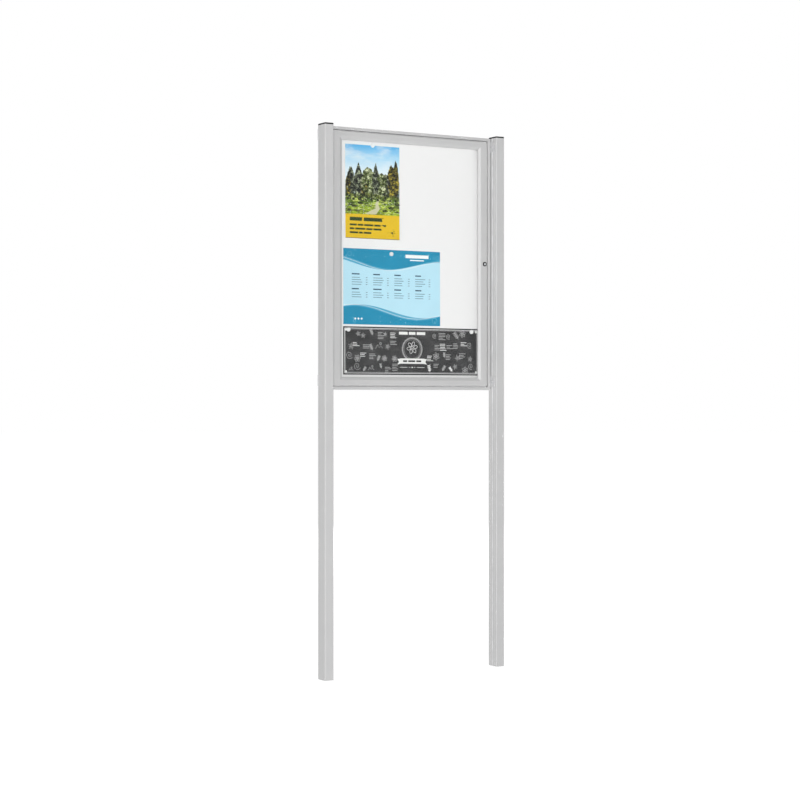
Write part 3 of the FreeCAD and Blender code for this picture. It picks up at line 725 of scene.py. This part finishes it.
def landscape():
    """A pale blue sheet between two swept teal bands, with four columns of greeked lines."""
    sheet = Print("notice_landscape_print", "notice_landscape")
    chance = random.Random(23)
    pale = paper("ink_pale_blue", tone(188, 230, 246), 0.015)
    teal = paper("ink_teal", tone(20, 141, 179), 0.04)
    mid = paper("ink_mid_teal", tone(84, 172, 204), 0.02)
    light = paper("ink_light_teal", tone(128, 198, 222), 0.02)
    navy = paper("ink_navy", tone(30, 74, 104))
    soft = paper("ink_soft_grey", tone(104, 140, 160))
    white = paper("ink_white", tone(248, 250, 250))
    wide, tall = sheet.wide, sheet.tall
    sheet.base(pale, white)
    sheet.shape(sweep(wide, 254, 22, 2.6, tall), mid, 1)
    sheet.shape(sweep(wide, 262, 25, 2.3, tall), teal, 2)
    sheet.shape(sweep(wide, 62, 22, 0.6, 0), mid, 1)
    sheet.shape(sweep(wide, 53, 24, 0.9, 0), teal, 2)
    sheet.stroke(wave(wide, 256, 25, 2.3), 1.2, white, 3)
    sheet.stroke(wave(wide, 59, 24, 0.9), 1.2, white, 3)
    for _ in range(46):
        across = chance.uniform(8, wide - 8)
        up = chance.choice((chance.uniform(276, 306), chance.uniform(6, 34)))
        sheet.disc(across, up, chance.choice((0.9, 1.3, 2.2)), light, 3, 10)
    for centre, up, radius in (
        (30, 290, 9),
        (438, 22, 11),
        (404, 292, 6),
        (52, 14, 6),
        (452, 286, 8),
    ):
        sheet.stroke(ring(centre, up, radius, 24), 1.0, light, 3, closed=True)
    sheet.bar(296, 281, 112, 14, white, 4)
    sheet.bar(318, 270, 68, 4.5, white, 4)
    head_tall, line_tall = 5, 2.6
    for column in range(4):
        start = 40 + column * 101
        up = 205
        for lines in (4, 3):
            sheet.bar(start, up, chance.uniform(26, 40), head_tall, navy, 4)
            up -= 13
            for _ in range(lines):
                sheet.bar(start, up, chance.uniform(34, 50), line_tall, soft, 4)
                sheet.bar(start + 66, up, 8, line_tall, soft, 4)
                up -= 9.5
            up -= 10
    for step in range(3):
        sheet.disc(56 + 15 * step, 24, 4.2, white, 4)

    def lift(across, up):
        corners = 1.2 * (1 - up) ** 2 * (2 * across - 1) ** 2
        return corners + 0.5 * (1 - up) * math.sin(3.1 * across)

    sheet.finish(lift, 12, 8)


# Chalk motifs, each a list of strokes about one unit wide

EYE = [polar(0.1, step * 0.7) for step in range(10)]


def placed(strokes, centre, up, size, turn):
    """The strokes of a motif, turned, sized and moved to their place on the sheet."""
    cosine, sine = math.cos(turn), math.sin(turn)
    return [
        [
            (centre + size * (a * cosine - b * sine), up + size * (a * sine + b * cosine))
            for a, b in stroke
        ]
        for stroke in strokes
    ]


def sprig(centre, up, size, turn):
    """A stem with paired leaves."""
    strokes = [[(0, -0.5), (0.03, 0), (0, 0.5)]]
    for step in range(4):
        stem = -0.3 + 0.22 * step
        for side in (-1, 1):
            leaf = ((0, 0), (0.16, 0.05), (0.26, 0.2), (0.1, 0.14), (0, 0))
            strokes.append([(side * out, stem + high) for out, high in leaf])
    return placed(strokes, centre, up, size, turn)


def blossom(centre, up, size, turn):
    """Six looped petals round an eye."""
    strokes = []
    for petal in range(6):
        angle = petal * math.pi / 3
        loop = []
        for step in range(9):
            swing = math.pi * 2 * step / 8
            reach = polar(0.31 + 0.17 * math.cos(swing), angle)
            aside = polar(0.12 * math.sin(swing), angle)
            loop.append((reach[0] - aside[1], reach[1] + aside[0]))
        strokes.append(loop)
    return placed([*strokes, EYE], centre, up, size, turn)


def coil(centre, up, size, turn):
    strokes = [[polar(0.02 * step, step * 0.5) for step in range(24)]]
    return placed(strokes, centre, up, size, turn)


def burst(centre, up, size, turn):
    """Short and long rays round an eye."""
    strokes = []
    for ray in range(10):
        away = 0.48 if ray % 2 else 0.34
        strokes.append([polar(reach, ray * math.pi / 5) for reach in (0.16, away)])
    return placed([*strokes, EYE], centre, up, size, turn)


def snowcap(centre, up, size, turn):
    """Three small hills with a sun behind them."""
    sun = [polar(0.13, step * 0.4) for step in range(17)]
    strokes = [
        [(-0.5, -0.3), (-0.2, 0.2), (0.05, -0.2), (0.22, 0.05), (0.5, -0.3)],
        [(-0.28, 0.06), (-0.2, 0.0), (-0.12, 0.06)],
        [(0.24 + x, 0.28 + y) for x, y in sun],
    ]
    return placed(strokes, centre, up, size, turn * 0.2)


def banner():
    """A slate with a double rule, chalk motifs, a wreath and a plain ribbon."""
    sheet = Print("notice_banner_print", "notice_banner")
    chance = random.Random(37)
    slate = slate_ink()
    rim = paper("ink_rim", tone(20, 20, 21))
    rule = chalk_ink("ink_rule", tone(236, 236, 236), 0.3)
    faint = chalk_ink("ink_chalk_faint", tone(186, 186, 186), 0.38)
    strong = chalk_ink("ink_chalk", tone(252, 252, 251), 0.28)
    white = paper("ink_ribbon", tone(236, 236, 234))
    wide, tall = sheet.wide, sheet.tall
    sheet.base(rim, rim)
    sheet.bar(5, 5, wide - 10, tall - 10, slate, 1)
    for inset, thick in ((6.5, 2.0), (10.5, 0.8)):
        right, top = wide - inset, tall - inset
        corners = [(inset, inset), (right, inset), (right, top), (inset, top)]
        for step in range(4):
            sheet.stroke([corners[step], corners[(step + 1) % 4]], thick, rule, 2)
    for up in (13, tall - 13):
        for across in (13, wide - 13):
            sheet.disc(across, up, 5.4, white, 3)
    motifs = (sprig, blossom, coil, burst, snowcap)
    for row in range(4):
        for column in range(18):
            across = 32 + column * 34.4 + chance.uniform(-9, 9)
            up = 30 + row * 46 + chance.uniform(-10, 10)
            near_wreath = abs(across - wide / 2) < 76
            near_edge = abs(up - tall / 2) > tall / 2 - 18
            near_magnet = up > tall - 40 and min(abs(across - 24), abs(across - wide + 36)) < 26
            if near_wreath or near_edge or near_magnet:
                continue
            ink = strong if chance.random() < 0.2 else faint
            if chance.random() < 0.3:
                for line in range(chance.choice((3, 4, 5))):
                    line_up = up + 9 - 6.5 * line
                    sheet.bar(across - 14, line_up, chance.uniform(16, 34), 2, ink, 3)
                continue
            motif = chance.choice(motifs)
            for points in motif(across, up, chance.uniform(20, 38), chance.uniform(-0.7, 0.7)):
                sheet.stroke(points, 1.7 if ink is strong else 1.5, ink, 3)
    centre, middle = wide / 2, 108
    for radius, thick in ((44, 1.2), (39, 0.9)):
        sheet.stroke(ring(centre, middle, radius, 48), thick, faint, 3, closed=True)
    for step in range(22):
        angle = 2 * math.pi * step / 22
        across, up = polar(47, angle)
        for points in sprig(centre + across, middle + up, 15, angle):
            sheet.stroke(points, 0.8, faint, 4)
    for points in blossom(centre, middle + 6, 54, 0.2):
        sheet.stroke(points, 1.5, strong, 4)
    half = [(56, 47), (72, 44), (64, 55), (72, 66), (56, 69)]
    ribbon = [(centre + out, up) for out, up in half]
    ribbon += [(centre - out, up) for out, up in reversed(half)]
    sheet.shape(ribbon, white, 5)
    across = centre - 44
    for word in (20, 34, 24):
        sheet.bar(across, 54.5, word, 7, rim, 6)
        across += word + 5
    for across, word in ((-64, 42), (-16, 32), (22, 42)):
        sheet.bar(centre + across, 168, word, 12, white, 3)
    for side in (-1, 1):
        sheet.stroke([(centre + side * 24, 32), (centre + side * 60, 32)], 1.6, strong, 3)
    for across, radius in ((0, 3), (-12, 1.8), (12, 1.8)):
        sheet.disc(centre + across, 32, radius, strong, 3)

    def lift(across, up):
        return 0.7 * (1 - up) ** 2 * (0.4 + (2 * across - 1) ** 2)

    sheet.finish(lift, 14, 5)


portrait()
landscape()
banner()

# Small fittings

# Heads as (distance along the axis, radius) in millimetres, from base to tip
PAN_HEAD = [(0, 4.4), (0.9, 4.4), (1.9, 3.7), (2.4, 2.4), (2.5, 1.5), (1.3, 1.2), (1.2, 0)]
RIVET_HEAD = [(-1.4, 3.6), (-1.0, 3.6), (-0.4, 2.7), (0, 1.3), (-0.4, 1.0), (-0.5, 0)]
# The seal's section as (reach from the door's edge, depth from its front) in millimetres
SEAL_BULB = [
    (0.0, 0.9),
    (1.2, 0.9),
    (2.2, 1.5),
    (2.6, 2.6),
    (2.4, 3.7),
    (1.8, 4.5),
    (0.9, 5.0),
    (0.0, 5.0),
]
SCREW_INSET = 47.5 * MM
SCREW_ABOVE_BOTTOM = 30 * MM
SCREW_BELOW_TOP = 44 * MM
RIVET_INSET = 11 * MM
SEAL_CORNER = 4 * MM
SEAL_HINGE_GAP = 3 * MM
TURNED_SIDES = 20
SHARP_ANGLE = math.radians(38)


def turned(mesh, centre, axis, profile):
    """Adds a turned piece: profile holds (distance along the axis, radius) in millimetres."""
    axis = Vector(axis)
    side = axis.orthogonal().normalized()
    across = axis.cross(side)
    rings = []
    for along, radius in profile:
        middle = Vector(centre) + axis * along * MM
        if radius == 0:
            rings.append([mesh.verts.new(middle)])
            continue
        spokes = ring(0, 0, radius * MM, TURNED_SIDES)
        rings.append([mesh.verts.new(middle + side * a + across * b) for a, b in spokes])
    for low, high in zip(rings, rings[1:]):
        for step in range(TURNED_SIDES):
            after = (step + 1) % TURNED_SIDES
            if len(high) == 1:
                mesh.faces.new((low[step], low[after], high[0]))
            else:
                mesh.faces.new((low[step], low[after], high[after], high[step]))


def fitting(name, mesh, material, body):
    bmesh.ops.recalc_face_normals(mesh, faces=mesh.faces[:])
    data = bpy.data.meshes.new(name)
    mesh.to_mesh(data)
    mesh.free()
    data.materials.append(material)
    data.shade_smooth()
    data.set_sharp_from_angle(angle=SHARP_ANGLE)
    piece = bpy.data.objects.new(name, data)
    bpy.context.scene.collection.objects.link(piece)
    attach(piece, body)


def panel_screws():
    """Pan head screws that hold the white panel near its corners."""
    low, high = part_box("back_panel")
    mesh = bmesh.new()
    for x in (low[0] + SCREW_INSET, high[0] - SCREW_INSET):
        for z in (low[2] + SCREW_ABOVE_BOTTOM, high[2] - SCREW_BELOW_TOP):
            turned(mesh, (x, low[1], z), (0, -1, 0), PAN_HEAD)
    fitting("panel_screws", mesh, STEEL, "stand")


def evenly(low, high, gaps):
    return [low + (high - low) * step / gaps for step in range(gaps + 1)]


def rear_rivets():
    """Pop rivets along the rear flange that hold the rear sheet, flush with its back."""
    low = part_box("case_frame_left")[0]
    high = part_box("case_frame_right")[1]
    left, right = low[0] + RIVET_INSET, high[0] - RIVET_INSET
    bottom, top = low[2] + RIVET_INSET, high[2] - RIVET_INSET
    spots = []
    for z in evenly(bottom, top, 6):
        spots += [(left, z), (right, z)]
    for x in evenly(left, right, 5)[1:-1]:
        spots += [(x, bottom), (x, top)]
    mesh = bmesh.new()
    for x, z in spots:
        turned(mesh, (x, high[1], z), (0, 1, 0), RIVET_HEAD)
    fitting("rear_rivets", mesh, STEEL, "stand")


def door_seal():
    """A bulb seal round the door's outer edge, its pale grey a painted highlight along the door's
    rounded edge, in runs that leave the hinges free.
    """
    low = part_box("door_frame_left")[0]
    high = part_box("door_frame_right")[1]
    runs = [
        ((low[0], low[2]), (high[0], low[2]), (0, -1)),
        ((low[0], high[2]), (high[0], high[2]), (0, 1)),
        ((high[0], low[2]), (high[0], high[2]), (1, 0)),
    ]
    stops = [low[2]]
    for level in ("bottom", "middle", "top"):
        hinge_low, hinge_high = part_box("hinge_moving_" + level)
        stops += [hinge_low[2] - SEAL_HINGE_GAP, hinge_high[2] + SEAL_HINGE_GAP]
    stops.append(high[2])
    for start, end in zip(stops[::2], stops[1::2]):
        runs.append(((low[0], start), (low[0], end), (-1, 0)))
    mesh = bmesh.new()
    for (x0, z0), (x1, z1), (out_x, out_z) in runs:
        short_x = SEAL_CORNER if out_z else 0
        short_z = SEAL_CORNER if out_x else 0
        ends = []
        for x, z in ((x0 + short_x, z0 + short_z), (x1 - short_x, z1 - short_z)):
            corners = [
                (x + out_x * reach * MM, low[1] + depth * MM, z + out_z * reach * MM)
                for reach, depth in SEAL_BULB
            ]
            ends.append([mesh.verts.new(corner) for corner in corners])
        near, far = ends
        for step in range(len(SEAL_BULB)):
            after = (step + 1) % len(SEAL_BULB)
            mesh.faces.new((near[step], near[after], far[after], far[step]))
        mesh.faces.new(near)
        mesh.faces.new(list(reversed(far)))
    fitting("door_seal", mesh, SEAL, "door")


panel_screws()
rear_rivets()
door_seal()

# Studio

FLOOR_RADIUS = 60.0
FLOOR_SIDES = 96
# Grey and glow of the floor, where it is seen and for the light that bounces off it
FLOOR_SEEN = (0.3, 0.94)
FLOOR_UNSEEN = (0.82, 0.36)
WORLD_SEEN = 1.0
WORLD_FILL = 0.22
# Place, target, size and watts
SOFTBOXES = {
    "key_softbox": ((-5.4, -10.4, 0.9), (0.5, 0, 1.4), (3.0, 1.6), 865),
    "side_softbox": ((-8.3, -2.3, 1.25), (0.5, 0, 1.3), (2.2, 2.4), 166),
    "back_softbox": ((3.6, 8.4, 3.0), (0.4, 0, 1.3), (3.0, 2.4), 380),
}
CAMERA_PLACE = (-3.72076, -6.90815, 1.13185)
CAMERA_TURN = (math.radians(90), 0, math.radians(-30.5))
CAMERA_SENSOR = 36.0
CAMERA_LENS = 87.21
CAMERA_REACH = 200.0


def lit_diffuse(finish, grey, glow):
    """A diffuse surface that also gives off an even light."""
    body = finish.add("ShaderNodeBsdfDiffuse")
    finish.put(body, "Color", (grey, grey, grey, 1))
    light = finish.add("ShaderNodeEmission")
    finish.put(light, "Strength", glow)
    both = finish.add("ShaderNodeAddShader")
    finish.put(both, 0, body.outputs[0])
    finish.put(both, 1, light.outputs[0])
    return both.outputs[0]


def studio_floor():
    """A pale disc under the board that reads white to the camera and keeps the board's shadow."""
    disc = bmesh.new()
    bmesh.ops.create_circle(
        disc, cap_ends=True, cap_tris=True, segments=FLOOR_SIDES, radius=FLOOR_RADIUS
    )
    mesh = bpy.data.meshes.new("studio_floor")
    disc.to_mesh(mesh)
    disc.free()
    floor = bpy.data.objects.new("studio_floor", mesh)
    bpy.context.scene.collection.objects.link(floor)
    finish = Finish("studio_floor")
    finish.tree.nodes.remove(finish.shader)
    plain = lit_diffuse(finish, *FLOOR_UNSEEN)
    shown = lit_diffuse(finish, *FLOOR_SEEN)
    finish.surface(finish.mix(seen_rays(finish), plain, shown))
    mesh.materials.append(finish.material)


def studio_world():
    """White where it is seen, and an even soft fill for everything else."""
    world = bpy.data.worlds.new("studio")
    bpy.context.scene.world = world
    world.use_nodes = True
    nodes = Nodes(world.node_tree, "ShaderNodeOutputWorld")
    lights = []
    for strength in (WORLD_FILL, WORLD_SEEN):
        light = nodes.add("ShaderNodeBackground")
        nodes.put(light, "Color", (1, 1, 1, 1))
        nodes.put(light, "Strength", strength)
        lights.append(light.outputs[0])
    nodes.surface(nodes.mix(seen_rays(nodes), *lights))


def softbox(name, place, target, size, watts):
    light = bpy.data.lights.new(name, "AREA")
    light.shape = "RECTANGLE"
    light.size, light.size_y = size
    light.energy = watts
    lamp = bpy.data.objects.new(name, light)
    bpy.context.scene.collection.objects.link(lamp)
    aim = (Vector(target) - Vector(place)).to_track_quat("-Z", "Y")
    lamp.matrix_world = Matrix.Translation(place) @ aim.to_matrix().to_4x4()


def photograph_camera():
    data = bpy.data.cameras.new("photograph")
    data.sensor_width = CAMERA_SENSOR
    data.lens = CAMERA_LENS
    data.clip_end = CAMERA_REACH
    camera = bpy.data.objects.new("photograph", data)
    bpy.context.scene.collection.objects.link(camera)
    camera.location = CAMERA_PLACE
    camera.rotation_euler = CAMERA_TURN
    bpy.context.scene.camera = camera


studio_floor()
studio_world()
for lamp_name, settings in SOFTBOXES.items():
    softbox(lamp_name, *settings)
photograph_camera()
bpy.context.scene.view_settings.view_transform = "Standard"
